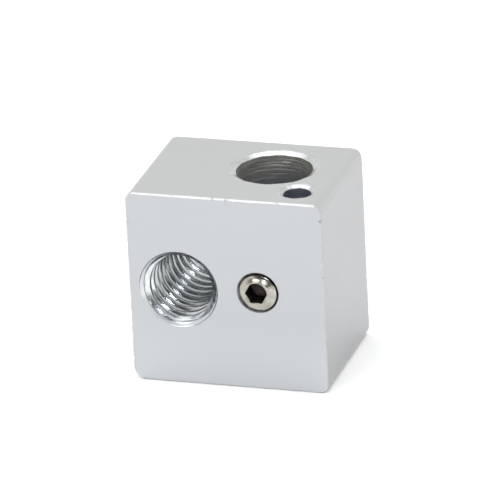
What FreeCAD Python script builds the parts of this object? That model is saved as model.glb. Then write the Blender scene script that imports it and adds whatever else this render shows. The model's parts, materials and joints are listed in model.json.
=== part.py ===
import FreeCAD, Part
import Sketcher
import math
import os

# Aluminium heater block of a filament printer's hot end, with the set screw that clamps its cartridge.
#
# Frame: the block stands on its bottom face. The origin is the middle of that face, +Z is up, and -Y is
# the face that the nozzle thread and the clamp screw open on. All sizes are in millimetres.

DIMENSIONS = [
    ("block_width", 16.0),  # along X
    ("block_depth", 12.0),  # along Y, the way the bar was drawn
    ("block_height", 16.0),  # along Z
    ("bar_corner_radius", 0.8),  # the four long corners of the drawn bar
    ("edge_break", 0.15),  # the sawn outlines at the front and the back
    ("nozzle_x", -3.94),
    ("nozzle_height", 8.0),
    ("nozzle_thread_major", 6.0),  # M6, coarse
    ("nozzle_thread_pitch", 1.0),
    ("nozzle_pilot", 5.15),
    ("nozzle_mouth", 6.4),
    ("nozzle_thread_start", 0.92),  # how deep the first groove's middle is on the hole's +X side
    ("cartridge_x", 2.2),
    ("cartridge_y", 1.1),
    ("cartridge_bore", 6.1),  # for a 6 mm heater cartridge
    ("cartridge_mouth", 7.1),
    ("sensor_x", 5.35),
    ("sensor_y", -3.35),
    ("sensor_bore", 2.2),
    ("sensor_mouth", 3.0),
    ("screw_x", 2.56),
    ("screw_height", 8.2),
    ("screw_hole", 3.1),  # stands for the M3 thread's major diameter
    ("screw_hole_mouth", 3.38),
    ("screw_length", 4.0),
    ("screw_thread_major", 3.0),  # M3, coarse
    ("screw_thread_minor", 2.387),
    ("screw_thread_pitch", 0.5),
    ("screw_head_flat", 2.35),  # the ring left by the chamfer at the socket end
    ("screw_proud", 0.25),  # how far the socket end stands out of the block
    ("tip_flat", 2.0),
    ("cup_rim", 1.4),
    ("cup_hollow", 0.35),
    ("socket_across_flats", 1.54),
    ("socket_off_axis", 0.1),  # the socket was punched this far towards -X
    ("socket_deep", 1.6),
    ("socket_lead", 1.9),  # the cone that leads a key into the socket
    ("overrun", 1.0),  # how far a cutter runs past the face that it leaves
]
THREAD_HALF_ANGLE = 30.0
CHAMFER_HALF_ANGLE = 45.0
DRILL_HALF_ANGLE = 59.0  # the plain holes' mouths were opened with a drill's point
SOCKET_HALF_ANGLE = 60.0
NO_LENGTH = 1e-6


class Size:
    """A number in millimetres, with the sheet expression that drives it."""

    def __init__(self, value, text):
        self.value = value
        self.text = text

    def joined(self, other, sign, work):
        other = other if isinstance(other, Size) else Size(other, repr(float(other)))
        return Size(work(self.value, other.value), "(%s %s %s)" % (self.text, sign, other.text))

    def __add__(self, other):
        return self.joined(other, "+", lambda a, b: a + b)

    def __sub__(self, other):
        return self.joined(other, "-", lambda a, b: a - b)

    def __mul__(self, other):
        return self.joined(other, "*", lambda a, b: a * b)

    def __truediv__(self, other):
        return self.joined(other, "/", lambda a, b: a / b)

    def __neg__(self):
        return self * -1.0


class Sizes:
    """Every driving dimension by its alias, as a Size."""


def make_sheet(doc):
    """The spreadsheet of driving dimensions: its name in column A and its value in column B."""
    sheet = doc.addObject("Spreadsheet::Sheet", "dimensions")
    sizes = Sizes()
    for row, (alias, value) in enumerate(DIMENSIONS, start=1):
        sheet.set("A%d" % row, alias)
        sheet.set("B%d" % row, str(value))
        sheet.setAlias("B%d" % row, alias)
        setattr(sizes, alias, Size(value, "dimensions." + alias))
    doc.recompute()
    return sizes


def bind(thing, prop, size):
    """Let the sheet drive one property of an object."""
    thing.setExpression(prop, size.text)


def origin_plane(body, role):
    return next(feature for feature in body.Origin.OriginFeatures if feature.Role == role)


def outline_sketch(body, name, role, corners, offset=None):
    """A closed outline of straight sides on an origin plane, every corner placed by the sheet.

    offset moves the sketch's own origin, as (along its x, along its y, along its normal).
    """
    sketch = body.newObject("Sketcher::SketchObject", name)
    sketch.AttachmentSupport = [(origin_plane(body, role), "")]
    sketch.MapMode = "FlatFace"
    for axis, size in zip("xyz", offset or ()):
        if size is not None:
            bind(sketch, "AttachmentOffset.Base." + axis, size)
    points = [FreeCAD.Vector(across.value, along.value, 0) for across, along in corners]
    count = len(points)
    for i in range(count):
        sketch.addGeometry(Part.LineSegment(points[i], points[(i + 1) % count]), False)
    for i, (across, along) in enumerate(corners):
        sketch.addConstraint(Sketcher.Constraint("Coincident", (i - 1) % count, 2, i, 1))
        for kind, size in (("DistanceX", across), ("DistanceY", along)):
            index = sketch.addConstraint(Sketcher.Constraint(kind, -1, 1, i, 1, size.value))
            sketch.setExpression("Constraints[%d]" % index, size.text)
    return sketch


def turned(body, kind, name, sketch):
    """A Revolution or Groove of a sketch, all the way round the sketch's vertical axis."""
    feature = body.newObject("PartDesign::" + kind, name)
    feature.Profile = sketch
    feature.ReferenceAxis = (sketch, ["V_Axis"])
    feature.Angle = 360
    feature.Refine = False
    return feature


def helical_cut(body, name, sketch, pitch, length):
    """A thread groove: the sketch's outline swept up a helix round the sketch's vertical axis."""
    feature = body.newObject("PartDesign::SubtractiveHelix", name)
    feature.Profile = sketch
    feature.ReferenceAxis = (sketch, ["V_Axis"])
    feature.Mode = "pitch-height-angle"
    feature.Refine = False  # keeps one face to each turn of the land between the grooves
    bind(feature, "Pitch", pitch)
    bind(feature, "Height", length)
    return feature


def rounded(body, name, base, radius, wanted):
    """A Fillet of the base feature's edges that wanted() picks."""
    edges = ["Edge%d" % i for i, edge in enumerate(base.Shape.Edges, start=1) if wanted(edge)]
    feature = body.newObject("PartDesign::Fillet", name)
    feature.Base = (base, edges)
    bind(feature, "Radius", radius)
    return feature


def drilled(body, name, role, offset, bore, mouth, half_angle, start, end, far_mouth):
    """A drilled hole with a cone of the given half angle where it leaves each face.

    start and end are places along the hole. Without a far mouth the hole simply stops at end.
    """
    zero = bore - bore
    wall = bore / 2
    rim = mouth / 2
    chamfer = (rim - wall) / math.tan(math.radians(half_angle))
    run = sizes.overrun
    corners = [(zero, start - run), (rim, start - run), (rim, start), (wall, start + chamfer)]
    if far_mouth:
        corners += [(wall, end - chamfer), (rim, end), (rim, end + run), (zero, end + run)]
    else:
        corners += [(wall, end), (zero, end)]
    sketch = outline_sketch(body, name + "_profile", role, corners, offset)
    return turned(body, "Groove", name, sketch)


def thread_profile(body, name, role, offset, root, crest, pitch, first):
    """One groove of a 60 degree thread, from its root, an eighth of the pitch wide, to past its crest."""
    slope = math.tan(math.radians(THREAD_HALF_ANGLE))
    root_half = pitch / 16
    past = crest + (crest - root) / 4
    sign = 1.0 if root.value > crest.value else -1.0
    open_half = root_half + (root - past) * (sign * slope)
    corners = [
        (root, first - root_half),
        (root, first + root_half),
        (past, first + open_half),
        (past, first - open_half),
    ]
    return outline_sketch(body, name + "_profile", role, corners, offset)


def heater_block(doc):
    """The block: a slice of drawn bar with four holes, the largest of them threaded."""
    body = doc.addObject("PartDesign::Body", "heater_block")
    body.Label = "heater_block"
    half_width = sizes.block_width / 2
    half_depth = sizes.block_depth / 2
    zero = half_width - half_width
    square = outline_sketch(
        body,
        "bar_section",
        "XZ_Plane",
        [
            (-half_width, zero),
            (half_width, zero),
            (half_width, sizes.block_height),
            (-half_width, sizes.block_height),
        ],
    )
    bar = body.newObject("PartDesign::Pad", "bar")
    bar.Profile = square
    bar.SideType = "Symmetric"
    bind(bar, "Length", sizes.block_depth)
    doc.recompute()

    def along_bar(edge):
        return edge.BoundBox.YLength > sizes.block_depth.value / 2

    def on_sawn_face(edge):
        return edge.BoundBox.YLength < NO_LENGTH

    corners = rounded(body, "bar_corners", bar, sizes.bar_corner_radius, along_bar)
    doc.recompute()
    rounded(body, "sawn_edges", corners, sizes.edge_break, on_sawn_face)
    doc.recompute()

    nozzle_axis = (sizes.nozzle_x, None, sizes.nozzle_height)
    drilled(
        body,
        "nozzle_pilot_hole",
        "XY_Plane",
        nozzle_axis,
        sizes.nozzle_pilot,
        sizes.nozzle_mouth,
        CHAMFER_HALF_ANGLE,
        -half_depth,
        half_depth,
        True,
    )
    thread = thread_profile(
        body,
        "nozzle_thread",
        "XY_Plane",
        nozzle_axis,
        sizes.nozzle_thread_major / 2,
        sizes.nozzle_pilot / 2,
        sizes.nozzle_thread_pitch,
        sizes.nozzle_thread_start - half_depth - sizes.nozzle_thread_pitch * 2,
    )
    doc.recompute()
    helical_cut(
        body,
        "nozzle_thread",
        thread,
        sizes.nozzle_thread_pitch,
        sizes.block_depth + sizes.nozzle_thread_pitch * 3,
    )
    doc.recompute()
    # On the XZ plane a sketch's normal points to -Y.
    drilled(
        body,
        "cartridge_hole",
        "XZ_Plane",
        (sizes.cartridge_x, None, -sizes.cartridge_y),
        sizes.cartridge_bore,
        sizes.cartridge_mouth,
        DRILL_HALF_ANGLE,
        zero,
        sizes.block_height,
        True,
    )
    drilled(
        body,
        "sensor_hole",
        "XZ_Plane",
        (sizes.sensor_x, None, -sizes.sensor_y),
        sizes.sensor_bore,
        sizes.sensor_mouth,
        DRILL_HALF_ANGLE,
        zero,
        sizes.block_height,
        True,
    )
    # The clamp screw's hole ends in the cartridge hole.
    drilled(
        body,
        "clamp_screw_hole",
        "XY_Plane",
        (sizes.screw_x, None, sizes.screw_height),
        sizes.screw_hole,
        sizes.screw_hole_mouth,
        CHAMFER_HALF_ANGLE,
        -half_depth,
        sizes.cartridge_y,
        False,
    )
    doc.recompute()
    return body


def clamp_set_screw(doc):
    """The set screw, made upright on its tip and laid in its hole with the socket towards -Y."""
    body = doc.addObject("PartDesign::Body", "clamp_set_screw")
    body.Label = "clamp_set_screw"
    zero = sizes.screw_length - sizes.screw_length
    length = sizes.screw_length
    major = sizes.screw_thread_major / 2
    head = sizes.screw_head_flat / 2
    tip = sizes.tip_flat / 2
    shank = outline_sketch(
        body,
        "shank_profile",
        "XZ_Plane",
        [
            (zero, sizes.cup_hollow),
            (sizes.cup_rim / 2, zero),
            (tip, zero),
            (major, major - tip),
            (major, length - (major - head)),
            (head, length),
            (zero, length),
        ],
    )
    turned(body, "Revolution", "shank", shank)
    doc.recompute()

    corner = sizes.socket_across_flats / math.sqrt(3)
    flat = sizes.socket_across_flats / 2
    across = -sizes.socket_off_axis
    hexagon = outline_sketch(
        body,
        "socket_profile",
        "XY_Plane",
        [
            (corner, zero),
            (corner / 2, flat),
            (-corner / 2, flat),
            (-corner, zero),
            (-corner / 2, -flat),
            (corner / 2, -flat),
        ],
        (across, None, length),
    )
    socket = body.newObject("PartDesign::Pocket", "socket")
    socket.Profile = hexagon
    bind(socket, "Length", sizes.socket_deep)
    doc.recompute()

    lead = sizes.socket_lead / 2
    lead_deep = lead / math.tan(math.radians(SOCKET_HALF_ANGLE))
    drill_deep = flat / math.tan(math.radians(SOCKET_HALF_ANGLE))
    bottom = length - sizes.socket_deep
    cone = outline_sketch(
        body,
        "socket_lead_profile",
        "XZ_Plane",
        [
            (zero, length + sizes.overrun),
            (zero, length - lead_deep),
            (lead, length),
            (lead, length + sizes.overrun),
        ],
        (across, None, None),
    )
    turned(body, "Groove", "socket_lead_cone", cone)
    drill = outline_sketch(
        body,
        "socket_end_profile",
        "XZ_Plane",
        [(zero, bottom), (zero, bottom - drill_deep), (flat, bottom)],
        (across, None, None),
    )
    turned(body, "Groove", "socket_end_cone", drill)
    doc.recompute()

    thread = thread_profile(
        body,
        "thread",
        "XZ_Plane",
        None,
        sizes.screw_thread_minor / 2,
        major,
        sizes.screw_thread_pitch,
        -sizes.screw_thread_pitch,
    )
    doc.recompute()
    helical_cut(
        body,
        "thread",
        thread,
        sizes.screw_thread_pitch,
        length + sizes.screw_thread_pitch * 2,
    )
    doc.recompute()

    # A quarter turn about X takes the screw's own +Z to -Y.
    body.Placement = FreeCAD.Placement(
        FreeCAD.Vector(0, 0, 0), FreeCAD.Rotation(FreeCAD.Vector(1, 0, 0), 90)
    )
    bind(body, "Placement.Base.x", sizes.screw_x)
    bind(body, "Placement.Base.y", length - sizes.screw_proud - sizes.block_depth / 2)
    bind(body, "Placement.Base.z", sizes.screw_height)
    doc.recompute()
    return body


def problems(doc, bodies):
    """What failed to build, in words."""
    found = []
    for thing in doc.Objects:
        if "Invalid" in thing.State or "Error" in thing.State:
            found.append("%s failed: %s" % (thing.Name, thing.State))
    for body in bodies:
        if body.Shape.isNull() or not body.Shape.isValid() or len(body.Shape.Solids) != 1:
            found.append("%s is not one valid solid" % body.Label)
    return found


def volumes(body):
    """Each feature's volume, to show that every cut takes something away."""
    for feature in body.Group:
        if feature.isDerivedFrom("PartDesign::Feature") and not feature.Shape.isNull():
            print("%-20s %-20s %9.3f mm3" % (body.Label, feature.Name, feature.Shape.Volume))


doc = FreeCAD.newDocument("heater_block_with_screw")
sizes = make_sheet(doc)
bodies = [heater_block(doc), clamp_set_screw(doc)]
wrong = problems(doc, bodies)
if wrong:
    raise SystemExit("; ".join(wrong))
os.makedirs("parts", exist_ok=True)
for body in bodies:
    volumes(body)
    body.Shape.exportStep("parts/%s.step" % body.Label)
    box = body.Shape.optimalBoundingBox(False)
    print(body.Label, [round(v, 3) for v in (box.XMin, box.XMax, box.YMin, box.YMax, box.ZMin, box.ZMax)])
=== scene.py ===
import json
import math

import bmesh
import bpy
from mathutils import Matrix, Vector, noise


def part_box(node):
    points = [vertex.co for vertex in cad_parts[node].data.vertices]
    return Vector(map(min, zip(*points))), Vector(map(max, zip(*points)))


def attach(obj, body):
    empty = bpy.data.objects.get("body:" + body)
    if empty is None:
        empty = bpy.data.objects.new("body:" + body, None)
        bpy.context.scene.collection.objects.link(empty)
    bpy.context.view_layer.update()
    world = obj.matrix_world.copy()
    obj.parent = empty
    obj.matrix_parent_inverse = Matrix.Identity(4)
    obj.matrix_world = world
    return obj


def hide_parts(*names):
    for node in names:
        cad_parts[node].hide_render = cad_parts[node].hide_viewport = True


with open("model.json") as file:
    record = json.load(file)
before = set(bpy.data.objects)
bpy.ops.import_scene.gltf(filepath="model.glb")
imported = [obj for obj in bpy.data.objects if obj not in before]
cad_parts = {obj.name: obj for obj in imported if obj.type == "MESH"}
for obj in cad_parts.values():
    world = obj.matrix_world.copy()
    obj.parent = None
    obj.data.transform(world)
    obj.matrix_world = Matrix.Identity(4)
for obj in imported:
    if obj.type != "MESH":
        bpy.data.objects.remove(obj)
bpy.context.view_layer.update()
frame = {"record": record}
scene = bpy.context.scene

# Shapes are made in millimetres, in the frame's own axes, and scaled to metres when they are done.
MM = 0.001
TURN = 2 * math.pi

mounts = {mount["name"]: mount for mount in frame["record"]["mounts"]}
block_low, block_high = (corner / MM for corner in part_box("heater_block"))
screw_low, screw_high = (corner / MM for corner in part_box("clamp_set_screw"))

FRONT = block_low.y
BACK = block_high.y
BOTTOM = block_low.z
TOP = block_high.z
MIDDLE = (BOTTOM + TOP) / 2

# The bar. Its corners go from the lower right, counterclockwise as the front is seen.
CORNER_RADII = (0.75, 0.78, 0.8, 1.1)
OUTLINE_STEP = 0.1

# Its filed edges, between a strip of the end face and a strip of the side. The section is given as
# (depth, inset) in edge breaks.
EDGE_BREAK = 0.135
EDGE_SOFT = 0.02
EDGE_SECTION = ((0.20, 0.60), (0.78, 0.13), (1.30, 0.0))
END_STRIP = 0.25
SIDE_STRIP = 0.5
NICK_LEVEL = 0.25
NICK_GROWTH = 2.2

# An edge between two faces that turn by more than this is sharp.
SHARP_ANGLE = math.radians(24)
THREAD_FLANK = math.radians(30)

# The nozzle's hole, M6 x 1.
NOZZLE_PITCH = 1.0
NOZZLE_ROOT = 3.0
NOZZLE_MOUTH = 3.2
NOZZLE_START = 0.92
NOZZLE_STEPS = 160
NOZZLE_LIP = 0.03
NOZZLE_CONE_STEP = 0.05
NOZZLE_CONE_ROWS = 15
NOZZLE_CONE_DEEP = 1.2
NOZZLE_CONE_LINES = 0.042

# The plain holes, as (tool, mount, mouth radius, steps round, ring depth, noise seed). Their mouths
# were opened with a drill's point.
PLAIN_HOLES = (
    ("cartridge_tool", "cartridge_bore", 3.55, 144, 0.016, 3.16),
    ("sensor_tool", "sensor_bore", 1.5, 72, 0.008, 3.74),
)
DRILL_SLOPE = math.tan(math.radians(59))
CHATTER_LOBES = 11
MOUTH_SPREAD = 0.12
MOUTH_LIP = 0.05
MOUTH_STEP = 0.03
SEEN_DEPTH = 3.5
RING_STEP = 0.04
PLAIN_STEP = 0.4

# The clamp screw, M3 x 0.5, and its hole, whose mouth sits a little high. THREAD_START counts the
# cutting thread's turns that lie ahead of the screw's first whole groove.
SCREW_PITCH = 0.5
SCREW_ROOT = 1.1935
SCREW_MAJOR = (screw_high.x - screw_low.x) / 2
SCREW_X = (screw_low.x + screw_high.x) / 2
SCREW_Z = (screw_low.z + screw_high.z) / 2
SCREW_HOLE = 1.55
SCREW_HOLE_MOUTH = 1.70
SCREW_MOUTH_RISE = 0.035
SCREW_STEPS = 96
DOME_STEPS = 120
DRILL_STEPS = 48
DOME_START = 0.55
DOME_TILT = math.radians(36)
DOME_ROWS = 32
THREAD_START = 3.1
SCREW_TIP = 1.0
CUP_RIM = 0.7
CUP_HOLLOW = 0.35
SOCKET_FLAT = 0.79
SOCKET_DEEP = 1.6
SOCKET_LEAD = 0.95
SOCKET_LEAD_ANGLE = math.radians(50)
SOCKET_DRILL_ANGLE = math.radians(60)
SOCKET_OFF_AXIS = 0.1


# ------------------------------------------------------------ noise


def wander(x, y=0.37, z=0.37):
    """Smooth noise from -1 to 1, one cell to each whole number."""
    return noise.noise(Vector((x, y, z)))


def round_wander(angle, cells, layer):
    """Noise that closes on itself once round a hole."""
    reach = cells / TURN
    return wander(math.cos(angle) * reach + 7.1 * layer, math.sin(angle) * reach, layer * 3.3)


# ------------------------------------------------------------ meshes


def make_mesh(name, points, faces, material):
    mesh = bpy.data.meshes.new(name)
    mesh.from_pydata(points, [], faces)
    mesh.materials.append(material)
    work = bmesh.new()
    work.from_mesh(mesh)
    bmesh.ops.delete(work, geom=[v for v in work.verts if not v.link_faces], context="VERTS")
    bmesh.ops.recalc_face_normals(work, faces=work.faces)
    work.to_mesh(mesh)
    work.free()
    thing = bpy.data.objects.new(name, mesh)
    scene.collection.objects.link(thing)
    return thing


def hole_points(axis, centre):
    """A function from (angle, radius, along) to a point, for a hole along Y or Z.

    Along Y the angle runs clockwise as the front is seen, so a right-hand thread deepens with it.
    """
    if axis == "Y":
        return lambda a, r, s: (centre[0] + r * math.cos(a), s, centre[1] - r * math.sin(a))
    return lambda a, r, s: (centre[0] + r * math.cos(a), centre[1] + r * math.sin(a), s)


def turned(name, profile, place, steps, material, offset):
    """A closed solid of revolution from (radius, along) pairs that start and end on the axis."""
    points = [place(0, 0, profile[0][1])]
    for radius, along in profile[1:-1]:
        for k in range(steps):
            angle = TURN * k / steps
            points.append(place(angle, radius + offset(angle, radius, along), along))
    points.append(place(0, 0, profile[-1][1]))
    faces = []
    for k in range(steps):
        n = (k + 1) % steps
        faces.append((0, 1 + n, 1 + k))
        for base in range(1, len(points) - 1 - steps, steps):
            faces.append((base + k, base + n, base + steps + n, base + steps + k))
        faces.append((base + steps + k, base + steps + n, len(points) - 1))
    return make_mesh(name, points, faces, material)


def repaint(thing, material, wanted):
    """Give the faces whose middle wanted() picks another material."""
    thing.data.materials.append(material)
    for face in thing.data.polygons:
        if wanted(face.center):
            face.material_index = 1


def threaded(name, section, pitch, place, first, turns, steps, material, offset):
    """A closed solid whose side is a thread.

    section is one pitch as (radius, share of the pitch). Past its last column a row goes on as
    the row one pitch further, and a fan from the axis closes the helical step at each end.
    """
    rows = len(section)
    points = []
    for r in range(rows * turns + 1):
        radius, share = section[r % rows]
        along = first + pitch * (r // rows + share)
        for k in range(steps):
            angle = TURN * k / steps
            wound = (along - first) / pitch - share + k / steps
            points.append(place(angle, radius + offset(r % rows, wound), along + pitch * k / steps))

    def at(r, k):
        return (r + rows) * steps if k == steps else r * steps + k

    last = rows * (turns - 1)
    faces = []
    for r in range(last):
        for k in range(steps):
            faces.append((at(r, k), at(r, k + 1), at(r + 1, k + 1), at(r + 1, k)))
    for row, along in ((0, first - pitch / 2), (last, first + pitch * (turns + 0.5))):
        centre = len(points)
        points.append(place(0, 0, along))
        loop = [at(row, k) for k in range(steps)] + [at(r, 0) for r in range(row + rows, row, -1)]
        for i, point in enumerate(loop):
            faces.append((centre, loop[(i + 1) % len(loop)], point))
    return make_mesh(name, points, faces, material)


def carve(body, tools):
    """Cut with each tool, or keep only what is inside it, then scale the piece to metres.

    Edges are sharp where the surface turns a lot or one finish meets another.
    """
    for tool, operation in tools:
        change = body.modifiers.new(tool.name, "BOOLEAN")
        change.object = tool
        change.operation = operation
        change.solver = "EXACT"
        change.material_mode = "TRANSFER"
    graph = bpy.context.evaluated_depsgraph_get()
    made = bpy.data.meshes.new_from_object(body.evaluated_get(graph))
    body.modifiers.clear()
    body.data = made
    for tool, _ in tools:
        bpy.data.objects.remove(tool)
    made.transform(Matrix.Scale(MM, 4))
    made.polygons.foreach_set("use_smooth", [True] * len(made.polygons))
    made.set_sharp_from_angle(angle=SHARP_ANGLE)
    finishes = {}
    for face in made.polygons:
        for key in face.edge_keys:
            finishes.setdefault(key, set()).add(face.material_index)
    for edge in made.edges:
        if len(finishes[edge.key]) > 1:
            edge.use_edge_sharp = True


# ------------------------------------------------------------ the bar


def outline():
    """The bar's section as (x, z, outward x, outward z), a rounded square walked once round."""
    corners = []
    right, left = block_high.x, block_low.x
    square = ((right, BOTTOM), (right, TOP), (left, TOP), (left, BOTTOM))
    for (x, z), radius in zip(square, CORNER_RADII):
        up = radius if z == BOTTOM else -radius
        corners.append((x - math.copysign(radius, x), z + up, radius))
    walked = []
    for i, (x, z, radius) in enumerate(corners):
        arc_steps = round(radius * TURN / 4 / OUTLINE_STEP)
        for k in range(arc_steps + 1):
            angle = math.radians(90 * (i - 1 + k / arc_steps))
            out_x, out_z = math.cos(angle), math.sin(angle)
            walked.append((x + out_x * radius, z + out_z * radius, out_x, out_z))
        start = Vector(walked[-1][:2])
        next_x, next_z, next_radius = corners[(i + 1) % 4]
        end = Vector((next_x + out_x * next_radius, next_z + out_z * next_radius))
        steps = round((end - start).length / OUTLINE_STEP)
        for k in range(1, steps):
            walked.append((*start.lerp(end, k / steps), out_x, out_z))
    return walked


def edge_width(x, z, side):
    """How wide the broken edge is at a place on the outline, with its small nicks."""
    slow = 0.22 * wander(x * 0.5, z * 0.5, side) + 0.12 * wander(x * 2.4, z * 2.4, side * 2)
    nick = max(0.0, wander(x * 4.3 + 20, z * 4.3, side * 5) - NICK_LEVEL)
    return EDGE_BREAK * (1 + slow + NICK_GROWTH * nick)


def bar(material):
    """The drawn bar, cut to length, with its two outlines broken by hand."""
    walked = outline()
    rings = []
    for side, face, inward in ((1, FRONT, 1), (2, BACK, -1)):
        widths = [edge_width(x, z, side) for x, z, _, _ in walked]
        rows = [
            [(0.0, w + END_STRIP) for w in widths],
            [(0.0, w + EDGE_SOFT) for w in widths],
            *([(w * depth, w * inset) for w in widths] for depth, inset in EDGE_SECTION),
            [(SIDE_STRIP, 0.0)] * len(walked),
        ]
        made = [
            [
                (x - out_x * inset, face + inward * depth, z - out_z * inset)
                for (x, z, out_x, out_z), (depth, inset) in zip(walked, row)
            ]
            for row in rows
        ]
        rings += made if inward > 0 else made[::-1]
    count = len(walked)
    points = [point for ring in rings for point in ring]
    last = len(points) - count
    faces = [tuple(range(count)), tuple(range(last, last + count))]
    for base in range(0, last, count):
        for i in range(count):
            j = (i + 1) % count
            faces.append((base + i, base + j, base + count + j, base + count + i))
    return make_mesh("heater_block_body", points, faces, material)


# ------------------------------------------------------------ the block's holes


def thread_section(crest, root, pitch, edge):
    """One pitch of a thread from groove to groove, as (radius, share), with soft edges."""
    root_half = pitch / 16
    land_start = root_half + abs(root - crest) * math.tan(THREAD_FLANK)
    toward = 1 if root > crest else -1
    half = [(root, 0.0), (root - toward * edge * 0.2, root_half - edge * 0.3)]
    for share in (0.12, 0.36, 0.6, 0.84):
        half.append((root + (crest - root) * share, root_half + (land_start - root_half) * share))
    half.append((crest + toward * edge * 0.25, land_start + edge * 0.1))
    half.append((crest, land_start + edge))
    full = half + [(crest, pitch / 2)] + [(r, pitch - s) for r, s in reversed(half[1:])]
    return [(radius, along / pitch) for radius, along in full]


def nozzle_cutters(material, mouth_material):
    mount = mounts["nozzle_thread"]
    x, _, z = (value / MM for value in mount["pos_m"])
    crest = mount["dims"]["r_mm"]
    place = hole_points("Y", (x, z))

    def tapped(row, wound):
        tool_line = 0.010 * wander(row * 5.3, wound * 0.8)
        chatter = 0.005 * wander(wound * 26, row * 1.7, 4.0)
        return tool_line + chatter

    turns = round((BACK - FRONT) / NOZZLE_PITCH) + 4
    cutters = [
        threaded(
            "nozzle_thread_tool",
            thread_section(crest, NOZZLE_ROOT, NOZZLE_PITCH, 0.06),
            NOZZLE_PITCH,
            place,
            FRONT + NOZZLE_START - 3 * NOZZLE_PITCH,
            turns,
            NOZZLE_STEPS,
            material,
            tapped,
        )
    ]
    for side, face, inward in ((1, FRONT, 1), (2, BACK, -1)):

        def chattered(angle, radius, along, side=side):
            facet = 0.025 * round_wander(angle, 9, side) + 0.014 * round_wander(angle, 34, side + 5)
            return facet + 0.006 * wander(angle * 9, along * 12, side)

        profile = [
            (0, face - inward),
            (NOZZLE_MOUTH + NOZZLE_LIP, face - inward),
            (NOZZLE_MOUTH + NOZZLE_LIP, face - inward * 0.02),
            (NOZZLE_MOUTH, face + inward * NOZZLE_LIP),
        ]
        for k in range(1, NOZZLE_CONE_ROWS + 1):
            deep = NOZZLE_LIP + NOZZLE_CONE_STEP * k
            line = NOZZLE_CONE_LINES * wander(k * 1.37, side * 3.0)
            profile.append((NOZZLE_MOUTH + NOZZLE_LIP - deep + line, face + inward * deep))
        profile.append((0, face + inward * NOZZLE_CONE_DEEP))
        cutters.append(
            turned("nozzle_mouth_tool", profile, place, NOZZLE_STEPS, mouth_material, chattered)
        )
    return cutters


def plain_cutter(name, mount_name, mouth, steps, rings, seed, materials):
    """A drilled hole right through along Z, with drill rings and hand-opened, chattered mouths."""
    mount = mounts[mount_name]
    x, y, _ = (value / MM for value in mount["pos_m"])
    wall = mount["dims"]["r_mm"]
    cone_end = (mouth - wall) / DRILL_SLOPE + MOUTH_SPREAD

    def cone(angle, depth):
        """The mouth's radius: a cone that the drill's chatter left with flats and a wavy edge."""
        lobe = TURN / CHATTER_LOBES
        from_flat = (angle + seed) % lobe - lobe / 2
        flat = math.cos(lobe / 2) / math.cos(from_flat) - 1
        wave = 0.05 * round_wander(angle, 6, seed) + 0.045 * round_wander(angle, 17, seed + 2)
        return mouth * (1.006 + 0.5 * flat) + wave - depth * DRILL_SLOPE

    def rough(angle, radius, along):
        depth = min(along - BOTTOM, TOP - along)
        if depth < cone_end:
            lip = max(0.0, MOUTH_LIP - depth) * 1.5
            return max(wall, cone(angle, max(depth, 0.0)) + lip) - radius
        sweep = along + 0.06 * round_wander(angle, 5, seed + 6)
        turn = sweep * 2.9 + 0.6 * wander(sweep * 1.3, seed)
        groove = max(0.0, math.cos(TURN * turn) - 0.55) / 0.45
        broken = 0.5 + 1.1 * round_wander(angle, 9, seed + round(turn))
        slow = 0.2 * wander(along * 1.6, angle * 0.3, seed)
        return rings * (groove * max(0.0, broken) + slow)

    depths = [-1.0] + [MOUTH_STEP * k for k in range(math.ceil(cone_end / MOUTH_STEP))]
    depths += [cone_end + RING_STEP * k for k in range(round(SEEN_DEPTH / RING_STEP))]
    profile = [(0, BOTTOM - 1.5)] + [(wall, BOTTOM + depth) for depth in depths]
    middle = TOP - BOTTOM - 2 * depths[-1]
    count = round(middle / PLAIN_STEP)
    profile += [(wall, BOTTOM + depths[-1] + middle * k / count) for k in range(1, count)]
    profile += [(wall, TOP - depth) for depth in reversed(depths)]
    profile.append((0, TOP + 1.5))
    cutter = turned(name, profile, hole_points("Z", (x, y)), steps, materials[0], rough)

    def on_cone(spot):
        depth = min(spot.z - BOTTOM, TOP - spot.z)
        return depth < cone_end and math.hypot(spot.x - x, spot.y - y) > wall + 0.004

    repaint(cutter, materials[1], on_cone)
    return cutter


def screw_hole_cutter(material):
    end = mounts["cartridge_bore"]["pos_m"][1] / MM
    cone = SCREW_HOLE_MOUTH - SCREW_HOLE
    profile = [
        (0, FRONT - 1),
        (SCREW_HOLE_MOUTH + 0.02, FRONT - 1),
        (SCREW_HOLE_MOUTH + 0.02, FRONT - 0.01),
        (SCREW_HOLE_MOUTH, FRONT + 0.02),
        (SCREW_HOLE_MOUTH - cone / 2, FRONT + cone / 2 + 0.01),
    ]
    start = FRONT + cone + 0.02
    profile += [(SCREW_HOLE, start + (end - start) * k / 12) for k in range(13)]
    profile.append((0, end + 0.01))

    def uneven(angle, radius, along):
        if along > start - 0.001:
            return 0.0
        return 0.015 * round_wander(angle, 8, 11) - SCREW_MOUTH_RISE * math.sin(angle)

    place = hole_points("Y", (SCREW_X, SCREW_Z))
    return turned("screw_hole_tool", profile, place, SCREW_STEPS, material, uneven)


def heater_block():
    outside = drawn_aluminium()
    around_y = tapped_aluminium()
    around_z = (drilled_aluminium(), mouth_aluminium())
    body = bar(outside)
    tools = nozzle_cutters(around_y, around_z[1])
    tools += [plain_cutter(*hole, around_z) for hole in PLAIN_HOLES]
    tools.append(screw_hole_cutter(oiled_aluminium()))
    carve(body, [(tool, "DIFFERENCE") for tool in tools])
    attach(body, "block")
    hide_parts("heater_block")


# ------------------------------------------------------------ the clamp screw


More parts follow.
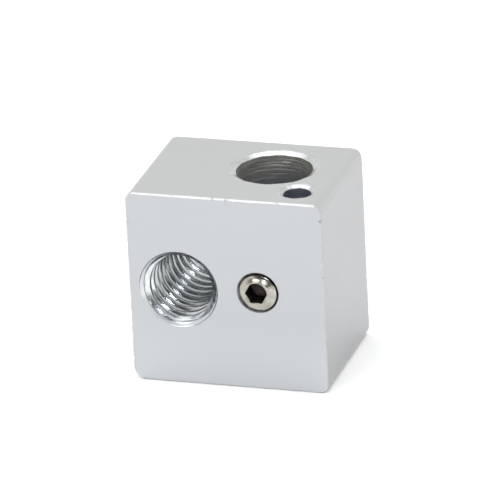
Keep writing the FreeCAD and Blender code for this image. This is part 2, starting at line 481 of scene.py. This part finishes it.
def hexagon_cutter(place_x, front, depth, material):
    """The socket: a hexagon with corners to the left and right."""
    corner = SOCKET_FLAT / math.cos(TURN / 12)
    points = []
    for along in (front - 1.0, front + depth):
        for k in range(6):
            angle = TURN * k / 6
            x = place_x + corner * math.cos(angle)
            z = SCREW_Z + corner * math.sin(angle)
            points.append((x, along, z))
    faces = [tuple(range(6)), tuple(range(6, 12))]
    faces += [(k, (k + 1) % 6, 6 + (k + 1) % 6, 6 + k) for k in range(6)]
    return make_mesh("socket_tool", points, faces, material)


def still(*_):
    return 0.0


def clamp_screw():
    steel = nickel_steel()
    # The socket's near-black colour is painted shade.
    dark = socket_steel()
    head = screw_low.y
    tip = screw_high.y
    place = hole_points("Y", (SCREW_X, SCREW_Z))
    profile = [(0, head)]
    # The end is domed from near its middle, with a few turning ridges.
    dome = (SCREW_MAJOR - DOME_START) / math.sin(DOME_TILT)
    for k in range(1, DOME_ROWS + 1):
        radius = SCREW_MAJOR * k / DOME_ROWS
        drop = dome - math.sqrt(dome**2 - max(0.0, radius - DOME_START) ** 2)
        ridge = 0.004 * (1 + math.sin(radius * 23.0)) + 0.003 * (1 + math.sin(radius * 41.0))
        profile.append((radius, head + drop + ridge))
    profile += [
        (SCREW_MAJOR, tip - (SCREW_MAJOR - SCREW_TIP)),
        (SCREW_TIP, tip - 0.02),
        (SCREW_TIP - 0.03, tip),
        (CUP_RIM + 0.02, tip),
        (CUP_RIM, tip - 0.01),
        (CUP_RIM / 2, tip - CUP_HOLLOW / 2),
        (0, tip - CUP_HOLLOW),
    ]

    def flat_spots(angle, radius, along):
        return 0.006 * round_wander(angle, 5, 21) if radius < SCREW_MAJOR - 0.02 else 0.0

    def run_in(row, wound):
        """The thread's first groove grows over half a turn, below the domed end."""
        filled = min(1.0, max(0.0, (THREAD_START + 0.5 - wound) / 0.5))
        return filled * (SCREW_MAJOR + 0.02 - section[row][0])

    section = thread_section(SCREW_MAJOR, SCREW_ROOT, SCREW_PITCH, 0.03)
    body = turned("clamp_screw_body", profile, place, DOME_STEPS, steel, flat_spots)
    turns = round((tip - head) / SCREW_PITCH) + 4
    thread = threaded(
        "screw_thread_tool",
        section,
        SCREW_PITCH,
        place,
        head - 2 * SCREW_PITCH,
        turns,
        SCREW_STEPS,
        steel,
        run_in,
    )
    socket_x = SCREW_X - SOCKET_OFF_AXIS
    socket_place = hole_points("Y", (socket_x, SCREW_Z))
    lead = SOCKET_LEAD / math.tan(SOCKET_LEAD_ANGLE)
    cone = [
        (0, head - 0.5),
        (SOCKET_LEAD + 0.05, head - 0.5),
        (SOCKET_LEAD + 0.03, head),
        (SOCKET_LEAD - 0.04, head + 0.035),
        (0, head + lead),
    ]
    drill = [
        (0, head + SOCKET_DEEP - 0.1),
        (SOCKET_FLAT, head + SOCKET_DEEP - 0.1),
        (SOCKET_FLAT, head + SOCKET_DEEP),
        (0, head + SOCKET_DEEP + SOCKET_FLAT / math.tan(SOCKET_DRILL_ANGLE)),
    ]
    tools = [
        (thread, "INTERSECT"),
        (turned("lead_tool", cone, socket_place, SCREW_STEPS, steel, still), "DIFFERENCE"),
        (hexagon_cutter(socket_x, head, SOCKET_DEEP, dark), "DIFFERENCE"),
        (turned("drill_tool", drill, socket_place, DRILL_STEPS, dark, still), "DIFFERENCE"),
    ]
    carve(body, tools)
    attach(body, "screw")
    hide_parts("clamp_set_screw")


# ------------------------------------------------------------ materials


class Shader:
    """A Principled material with its nodes, working in object millimetres."""

    def __init__(self, name):
        self.material = bpy.data.materials.new(name)
        self.material.use_nodes = True
        self.tree = self.material.node_tree
        self.surface = self.tree.nodes["Principled BSDF"]
        self.place = self.node("ShaderNodeTexCoord").outputs["Object"]

    def node(self, kind, inputs=None, **settings):
        made = self.tree.nodes.new(kind)
        for key, value in settings.items():
            setattr(made, key, value)
        for key, value in (inputs or {}).items():
            if isinstance(value, bpy.types.NodeSocket):
                self.tree.links.new(value, made.inputs[key])
            else:
                made.inputs[key].default_value = value
        return made

    def stretched(self, cells):
        """Object coordinates scaled to noise cells per millimetre along X, Y and Z."""
        scale = tuple(c / MM for c in cells)
        return self.node("ShaderNodeMapping", {"Vector": self.place, "Scale": scale}).outputs[0]

    def noise(self, cells, detail=3.0, rough=0.55):
        vector = cells if isinstance(cells, bpy.types.NodeSocket) else self.stretched(cells)
        made = self.node(
            "ShaderNodeTexNoise",
            {"Vector": vector, "Scale": 1.0, "Detail": detail, "Roughness": rough},
        )
        return made.outputs["Fac"]

    def ranged(self, value, from_low, from_high, to_low, to_high):
        return self.node(
            "ShaderNodeMapRange",
            {
                "Value": value,
                "From Min": from_low,
                "From Max": from_high,
                "To Min": to_low,
                "To Max": to_high,
            },
        ).outputs[0]

    def ramp(self, value, start, end, to_start=0.0, to_end=1.0):
        """Goes from one value to another between two lengths in millimetres."""
        return self.ranged(value, start * MM, end * MM, to_start, to_end)

    def along(self, axis):
        return self.node("ShaderNodeSeparateXYZ", {"Vector": self.place}).outputs[axis]

    def layers(self, *parts):
        """The sum of two noises, each given as (noise, lowest, highest)."""
        spread = [self.ranged(noise, 0.3, 0.7, low, high) for noise, low, high in parts]
        return self.math("ADD", *spread)

    def math(self, operation, *values):
        made = self.node("ShaderNodeMath", operation=operation)
        for socket, value in zip(made.inputs, values):
            if isinstance(value, bpy.types.NodeSocket):
                self.tree.links.new(value, socket)
            else:
                socket.default_value = value
        return made.outputs[0]

    def vector(self, operation, *values):
        return self.node("ShaderNodeVectorMath", dict(enumerate(values)), operation=operation)

    def blend(self, factor, first, second):
        made = self.node("ShaderNodeMix", {"Factor": factor}, data_type="RGBA")
        for socket, colour in ((made.inputs[6], first), (made.inputs[7], second)):
            if isinstance(colour, bpy.types.NodeSocket):
                self.tree.links.new(colour, socket)
            else:
                socket.default_value = (*colour, 1.0)
        return made.outputs[2]

    def bump(self, height, depth, strength, before=None):
        """A bump of the given depth in millimetres."""
        inputs = {"Height": height, "Distance": depth * MM, "Strength": strength}
        if before:
            inputs["Normal"] = before
        return self.node("ShaderNodeBump", inputs).outputs[0]

    def finish(self, colour, roughness, normal, metallic=1.0):
        self.surface.inputs["Metallic"].default_value = metallic
        for name, socket in (("Base Color", colour), ("Roughness", roughness), ("Normal", normal)):
            self.tree.links.new(socket, self.surface.inputs[name])
        return self.material


SIDE_DARK = (0.538, 0.545, 0.543)
SIDE_PALE = (0.553, 0.560, 0.558)
# Painted shade: the left and right faces are painted darker than the top and bottom.
FLANK_PAINTED_SHADE = (0.434, 0.437, 0.442)
END_DARK = (0.480, 0.494, 0.510)
END_PALE = (0.491, 0.505, 0.521)
# Painted light: the ends are painted paler towards the foot, where the floor's shade falls.
END_FOOT_PAINTED_LIGHT = (0.556, 0.572, 0.590)
NICKEL_DARK = (0.37, 0.355, 0.305)
NICKEL_PALE = (0.48, 0.46, 0.41)
# Dark colours for the clamp screw's hole.
CLAMP_HOLE_DARK = (0.16, 0.165, 0.17)
CLAMP_HOLE_PALE = (0.32, 0.325, 0.33)
MOUTH_DARK = (0.50, 0.51, 0.51)
MOUTH_PALE = (0.60, 0.61, 0.61)
# Painted reflection: dark and pale rings on the M6 mouth's cone.
TAPPED_REFLECTION_DARK = (0.20, 0.225, 0.245)
TAPPED_REFLECTION_PALE = (0.62, 0.64, 0.66)
# Worn edges painted paler: partly wear, partly a painted highlight. On the flanks they are painted
# darker as painted shade.
WORN_PALE_AND_HIGHLIGHT = (0.60, 0.61, 0.62)
WORN_FLANK_SHADE = (0.45, 0.455, 0.46)
CUT_DARK = (0.46, 0.48, 0.49)
CUT_PALE = (0.82, 0.84, 0.85)
# Painted shade deep inside the M6 thread.
CUT_DEEP_SHADE = (0.26, 0.28, 0.275)
DRILLED_OLIVE = (0.79, 0.79, 0.73)
# Painted shade: darker and bluish deep in the drilled holes and towards the front.
DRILLED_NAVY_SHADE = (0.56, 0.58, 0.67)
# Painted shade: the socket's inside is painted near black.
SOCKET_SHADE_DARK = (0.02, 0.018, 0.016)
SOCKET_SHADE_PALE = (0.07, 0.055, 0.05)

# Where one finish fades into the next, in millimetres in from the block's faces. Some fades bound
# painted light or shade: the flank fades the painted shade on the flanks, the worn fade the worn
# edges with their painted highlight, the foot height the painted light at the ends' foot, and the
# rim fade the pale rim of the painted reflection rings.
FLANK_SHADE_FADE = (0.08, 0.0)
UPRIGHT_SHADE_FADE = (0.22, 0.12)
WORN_AND_HIGHLIGHT_FADE = (0.22, 0.15)
END_FADE = (0.015, 0.005)
FOOT_PAINTED_LIGHT_HEIGHT = 6.0
TAPPED_FADE = (1.1, 0.9)
REFLECTION_RIM_FADE = (0.34, 0.24)

# Turning lines on the screw to the millimetre.
TURNING_LINES = 14


def inside(face, fade):
    """The two places where a fade starts and ends, in from a face."""
    return face - fade[0], face - fade[1]


def drawn_aluminium():
    """The bar's satin outside: drawn lines, paler cut ends, worn edges that are partly wear and
    partly a painted highlight, flanks and their worn edges painted darker as painted shade, and
    ends painted paler towards the foot as painted light.
    """
    s = Shader("drawn_aluminium")
    cloud = s.noise((0.22, 0.22, 0.22), 4.0)
    drawn = s.noise((11.0, 0.12, 11.0), 2.0)
    grain = s.noise((22.0, 22.0, 22.0), 2.0, 0.7)
    depth = s.math("ABSOLUTE", s.along("Y"))
    aside = s.math("ABSOLUTE", s.along("X"))
    # Painted shade on the left and right faces.
    flank_painted_shade = s.ramp(aside, *inside(block_high.x, FLANK_SHADE_FADE))
    # Painted shade on the worn edges of the left and right faces.
    upright_shade = s.ramp(aside, *inside(block_high.x, UPRIGHT_SHADE_FADE))
    # Painted light, fading out upwards from the foot of the ends.
    foot_painted_light = s.ramp(s.along("Z"), BOTTOM, BOTTOM + FOOT_PAINTED_LIGHT_HEIGHT, 1.0, 0.0)
    # Worn edges: partly wear, partly a painted highlight.
    worn_and_highlight = s.ramp(depth, *inside(BACK, WORN_AND_HIGHLIGHT_FADE))
    end = s.ramp(depth, *inside(BACK, END_FADE))
    patches = s.ranged(s.noise((1.3, 1.3, 1.3), 4.0), 0.35, 0.65, 0.3, 1.0)
    worn_and_highlight = s.math("MULTIPLY", s.math("MULTIPLY", worn_and_highlight, s.math("SUBTRACT", 1.0, end)), patches)
    clouded = s.ranged(cloud, 0.3, 0.7, 0.0, 1.0)
    drawn_and_shaded_colour = s.blend(flank_painted_shade, s.blend(clouded, SIDE_DARK, SIDE_PALE), FLANK_PAINTED_SHADE)
    end_and_lit_colour = s.blend(foot_painted_light, s.blend(clouded, END_DARK, END_PALE), END_FOOT_PAINTED_LIGHT)
    colour = s.blend(end, drawn_and_shaded_colour, end_and_lit_colour)
    colour = s.blend(worn_and_highlight, colour, s.blend(upright_shade, WORN_PALE_AND_HIGHLIGHT, WORN_FLANK_SHADE))
    rough = s.layers((drawn, -0.02, 0.02), (cloud, 0.39, 0.42))
    rough = s.math("SUBTRACT", rough, s.math("MULTIPLY", worn_and_highlight, 0.14))
    normal = s.bump(drawn, 0.0008, 0.12)
    normal = s.bump(grain, 0.001, 0.15, normal)
    return s.finish(colour, rough, normal)


def tapped_aluminium():
    """Bright torn metal in the holes that run along Y, with the tap's fine lines, painted darker
    deeper in as painted shade.
    """
    s = Shader("tapped_aluminium")
    lines = s.noise((2.5, 11.0, 2.5), 3.0, 0.7)
    flecks = s.noise((7.0, 12.0, 7.0), 3.0, 0.6)
    stain = s.noise((0.9, 2.5, 0.9), 5.0)
    # Painted shade: darker deeper into the hole.
    deep = s.ramp(s.math("ABSOLUTE", s.along("Y")), 1.0, 4.5, 0.75, 0.0)
    colour = s.blend(s.ranged(stain, 0.38, 0.62, 0.0, 1.0), CUT_DARK, CUT_PALE)
    colour = s.blend(deep, colour, CUT_DEEP_SHADE)
    rough = s.layers((lines, -0.05, 0.05), (stain, 0.20, 0.13))
    normal = s.bump(lines, 0.017, 0.6)
    normal = s.bump(flecks, 0.014, 0.7, normal)
    return s.finish(colour, rough, normal)


def drilled_aluminium():
    """Duller cut metal in the holes that run along Z, olive at the mouths, and painted darker and
    bluish deeper in and towards the front as painted shade.
    """
    s = Shader("drilled_aluminium")
    lines = s.noise((0.5, 0.5, 12.0), 2.0, 0.5)
    stain = s.noise((0.5, 0.5, 1.2), 3.0)
    from_middle = s.math("ABSOLUTE", s.math("SUBTRACT", s.along("Z"), MIDDLE * MM))
    # Painted shade, darker deeper in the bore and on its front side.
    deep = s.ramp(from_middle, 4.6, 6.1, 1.0, 0.0)
    near_shade = s.ramp(s.along("Y"), -1.5, -2.5)
    colour = s.blend(s.math("MAXIMUM", deep, near_shade), DRILLED_OLIVE, DRILLED_NAVY_SHADE)
    rough = s.layers((lines, -0.04, 0.04), (stain, 0.42, 0.34))
    return s.finish(colour, rough, s.bump(lines, 0.012, 0.6))


def oiled_aluminium():
    """Dark metal in the clamp screw's own hole, mottled lighter and darker."""
    s = Shader("oiled_aluminium")
    mottle = s.noise((2.0, 2.0, 2.0), 4.0)
    lines = s.noise((1.5, 9.0, 1.5), 2.0)
    colour = s.blend(s.ranged(mottle, 0.35, 0.65, 0.0, 1.0), CLAMP_HOLE_DARK, CLAMP_HOLE_PALE)
    return s.finish(colour, s.ranged(mottle, 0.3, 0.7, 0.25, 0.45), s.bump(lines, 0.012, 0.5))


def mouth_aluminium():
    """The bright cones round the holes' mouths, with painted reflections on the M6 mouth: dark and
    pale rings, left pale at the rim.
    """
    s = Shader("mouth_aluminium")
    marks = s.noise((3.0, 3.0, 9.0), 3.0)
    stain = s.noise((1.6, 1.6, 1.6), 3.0)
    reflection_rings = s.noise((0.9, 10.0, 0.9), 2.0)
    depth = s.math("ABSOLUTE", s.along("Y"))
    tapped = s.ramp(depth, *inside(BACK, TAPPED_FADE))
    plain_colour = s.blend(s.ranged(stain, 0.35, 0.65, 0.0, 1.0), MOUTH_DARK, MOUTH_PALE)
    # Painted reflection rings, left pale at the outer rim.
    reflection_rim = s.ramp(depth, *inside(BACK, REFLECTION_RIM_FADE))
    tapped_reflection_colour = s.blend(s.ranged(reflection_rings, 0.40, 0.56, 0.0, 1.0), TAPPED_REFLECTION_DARK, TAPPED_REFLECTION_PALE)
    tapped_reflection_colour = s.blend(reflection_rim, tapped_reflection_colour, TAPPED_REFLECTION_PALE)
    colour = s.blend(tapped, plain_colour, tapped_reflection_colour)
    return s.finish(colour, s.ranged(stain, 0.3, 0.7, 0.2, 0.3), s.bump(marks, 0.006, 0.5))


def nickel_steel():
    """The screw's bright plating, with turning lines round its axis and a few dull spots."""
    s = Shader("nickel_steel")
    axis = (SCREW_X * MM, 0.0, SCREW_Z * MM)
    centred = s.vector("SUBTRACT", s.place, axis).outputs[0]
    flat = s.vector("MULTIPLY", centred, (1.0, 0.0, 1.0)).outputs[0]
    radius = s.vector("LENGTH", flat).outputs["Value"]
    scaled = s.node("ShaderNodeCombineXYZ", {"X": s.math("MULTIPLY", radius, TURNING_LINES / MM)})
    rings = s.noise(scaled.outputs[0], 2.0)
    spots = s.noise((2.2, 2.2, 2.2), 4.0)
    colour = s.blend(s.ranged(spots, 0.40, 0.60, 0.0, 1.0), NICKEL_DARK, NICKEL_PALE)
    rough = s.layers((spots, 0.12, 0.20), (rings, -0.03, 0.04))
    normal = s.bump(rings, 0.006, 0.6)
    normal = s.bump(spots, 0.03, 0.6, normal)
    return s.finish(colour, rough, normal)


def socket_steel():
    """The socket's inside, painted near black as painted shade, with upright broach lines."""
    s = Shader("oiled_socket_steel")
    broached = s.noise((20.0, 0.8, 20.0), 2.0)
    mottle = s.noise((1.8, 1.8, 1.8), 4.0)
    colour = s.blend(s.ranged(mottle, 0.35, 0.65, 0.0, 1.0), SOCKET_SHADE_DARK, SOCKET_SHADE_PALE)
    rough = s.ranged(mottle, 0.3, 0.7, 0.35, 0.55)
    return s.finish(colour, rough, s.bump(broached, 0.01, 0.6), metallic=0.8)


# ------------------------------------------------------------ the studio

# The camera's place: compass angle from the front, height angle and roll in degrees, and the point
# that it looks at and its distance from there in millimetres.
CAMERA_AZIMUTH = 17.687
CAMERA_ELEVATION = 22.967
CAMERA_ROLL = math.radians(2.896)
CAMERA_AIM = Vector((-0.434, 0.499, 9.432))
CAMERA_DISTANCE = 516.226
CAMERA_LENS = 481.5

# The room: white but for a dark round patch in front, given by its middle's height angle and by the
# angles from there where the white ends and where the dark begins.
ROOM_WHITE = 1.04
ROOM_DARK = 0.06
DARK_MIDDLE = 12
DARK_OUTSIDE = math.radians(45)
DARK_INSIDE = math.radians(32)
FLOOR_WHITE = (0.97, 0.97, 0.97, 1.0)
FLOOR_HALF = 1.5


def direction(azimuth, elevation):
    """A direction from the block, by compass angle from the front and by height angle."""
    turn, rise = math.radians(azimuth), math.radians(elevation)
    flat = math.cos(rise)
    return Vector((math.sin(turn) * flat, -math.cos(turn) * flat, math.sin(rise)))


def camera():
    """From the right and above, through a long lens."""
    data = bpy.data.cameras.new("photo_view")
    data.lens = CAMERA_LENS
    data.clip_start = 0.01
    data.clip_end = 10.0
    thing = bpy.data.objects.new("photo_view", data)
    scene.collection.objects.link(thing)
    back = direction(CAMERA_AZIMUTH, CAMERA_ELEVATION)
    right = Vector((0, 0, 1)).cross(back).normalized()
    up = back.cross(right)
    right, up = (
        right * math.cos(CAMERA_ROLL) - up * math.sin(CAMERA_ROLL),
        up * math.cos(CAMERA_ROLL) + right * math.sin(CAMERA_ROLL),
    )
    turn = Matrix((right, up, back)).transposed().to_4x4()
    place = CAMERA_AIM * MM + back * CAMERA_DISTANCE * MM
    thing.matrix_world = Matrix.Translation(place) @ turn
    scene.camera = thing


def softbox(name, size, radiance, azimuth, elevation, distance, color=(1.0, 1.0, 1.0)):
    """A round soft light that faces the block from a compass angle and a height angle."""
    data = bpy.data.lights.new(name, "AREA")
    data.shape = "DISK"
    data.size = size
    data.energy = radiance * math.pi * math.pi * (size / 2) ** 2
    data.color = color
    thing = bpy.data.objects.new(name, data)
    scene.collection.objects.link(thing)
    way = direction(azimuth, elevation)
    thing.location = Vector((0, 0, MIDDLE * MM)) + way * distance
    thing.rotation_mode = "QUATERNION"
    thing.rotation_quaternion = way.to_track_quat("Z", "Y")
    thing.visible_camera = False
    return thing


def floor():
    paint = bpy.data.materials.new("studio_floor")
    paint.use_nodes = True
    surface = paint.node_tree.nodes["Principled BSDF"]
    surface.inputs["Base Color"].default_value = FLOOR_WHITE
    surface.inputs["Roughness"].default_value = 0.8
    surface.inputs["Specular IOR Level"].default_value = 0.0
    s = FLOOR_HALF
    corners = [(-s, -s, 0), (s, -s, 0), (s, s, 0), (-s, s, 0)]
    make_mesh("studio_floor", corners, [(0, 1, 2, 3)], paint)


def studio():
    """White all round, a dim room in front, and round soft lights above, behind and in front."""
    world = bpy.data.worlds.new("studio")
    world.use_nodes = True
    tree = world.node_tree
    background = tree.nodes["Background"]
    background.inputs["Color"].default_value = (1.0, 1.0, 1.0, 1.0)
    way = tree.nodes.new("ShaderNodeTexCoord")
    along = tree.nodes.new("ShaderNodeVectorMath")
    along.operation = "DOT_PRODUCT"
    along.inputs[1].default_value = direction(0, DARK_MIDDLE)
    dim = tree.nodes.new("ShaderNodeMapRange")
    dim.interpolation_type = "SMOOTHSTEP"
    for name, value in (
        ("From Min", math.cos(DARK_OUTSIDE)),
        ("From Max", math.cos(DARK_INSIDE)),
        ("To Min", ROOM_WHITE),
        ("To Max", ROOM_DARK),
    ):
        dim.inputs[name].default_value = value
    tree.links.new(way.outputs["Generated"], along.inputs[0])
    tree.links.new(along.outputs["Value"], dim.inputs["Value"])
    tree.links.new(dim.outputs[0], background.inputs["Strength"])
    scene.world = world
    softbox("overhead_left", 0.34, 1.15, -82, 68, 0.4, (0.97, 0.99, 1.02))
    softbox("ceiling", 0.13, 2.0, 141, 76, 0.4)
    softbox("by_the_camera", 0.062, 26.0, 12, 25, 0.6, (0.90, 0.98, 1.07))
    softbox("low_front_left", 0.20, 4.0, -18, 14, 0.6)
    softbox("low_front_right", 0.14, 4.0, 4, 12, 0.6)
    wash = softbox("floor_wash", 0.5, 2.0, 10, 50, 0.6)
    wash.visible_glossy = False


scene.view_settings.view_transform = "Standard"
camera()
studio()
floor()
heater_block()
clamp_screw()
